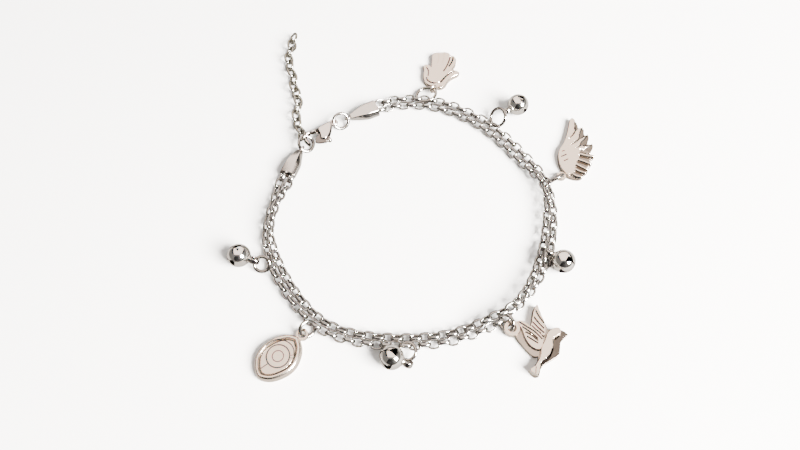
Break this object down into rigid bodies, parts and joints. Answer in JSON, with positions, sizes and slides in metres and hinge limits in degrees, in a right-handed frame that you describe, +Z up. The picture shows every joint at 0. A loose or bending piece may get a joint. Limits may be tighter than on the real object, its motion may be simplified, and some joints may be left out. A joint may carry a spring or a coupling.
{
  "type": "charm anklet",
  "caption": "Double-strand cable-chain anklet with cast charms and jingle bells, folded end caps, a lobster clasp and an extender chain, lying flat and fastened.",
  "frame": {"origin": "centre of the whole part's footprint, on the surface that the anklet lies on", "axes": "+Z up from the surface, +Y towards the free end of the extender chain and the hand charm, +X towards the wing charm"},
  "size_m": [0.099, 0.1084, 0.006],
  "materials": {
    "chain_steel": "polished",
    "finding_steel": "polished",
    "charm_steel": "polished, slightly soft",
    "bell_steel": "mirror polished"
  },
  "bodies": {
    "anklet": {"strand_outer": "chain_steel", "strand_inner": "chain_steel", "extender_link_01": "chain_steel", "extender_link_02": "chain_steel", "extender_link_03": "chain_steel", "extender_link_04": "chain_steel", "extender_link_05": "chain_steel", "extender_link_06": "chain_steel", "extender_link_07": "chain_steel", "extender_link_08": "chain_steel", "extender_link_09": "chain_steel", "extender_link_10": "chain_steel", "extender_link_11": "chain_steel", "extender_link_12": "chain_steel", "extender_link_13": "chain_steel", "extender_link_14": "chain_steel", "extender_link_15": "chain_steel", "end_cap_a": "finding_steel", "end_cap_b": "finding_steel", "ring_a": "finding_steel", "ring_b": "finding_steel", "clasp_body": "finding_steel", "ring_hand": "finding_steel", "ring_wing": "finding_steel", "ring_bird": "finding_steel", "ring_eye": "finding_steel", "ring_bell_1": "finding_steel", "ring_bell_2": "finding_steel", "ring_bell_3": "finding_steel", "ring_bell_4": "finding_steel", "charm_hand": "charm_steel", "charm_wing": "charm_steel", "charm_bird": "charm_steel", "charm_eye": "charm_steel", "bell_1": "bell_steel", "bell_2": "bell_steel", "bell_3": "bell_steel", "bell_4": "bell_steel", "bell_pellet_1": "bell_steel", "bell_pellet_2": "bell_steel", "bell_pellet_3": "bell_steel", "bell_pellet_4": "bell_steel"},
    "lever": {"clasp_lever": "finding_steel"}
  },
  "joints": [
    {"name": "lever_pivot", "type": "hinge", "parent": "anklet", "child": "lever", "pos_m": [-0.02696, 0.01575, 0.00216], "axis": [0, 0, -1], "range_deg": [0, 16], "stiffness_Nm_per_rad": 0.002, "springref_deg": -17.19}
  ]
}
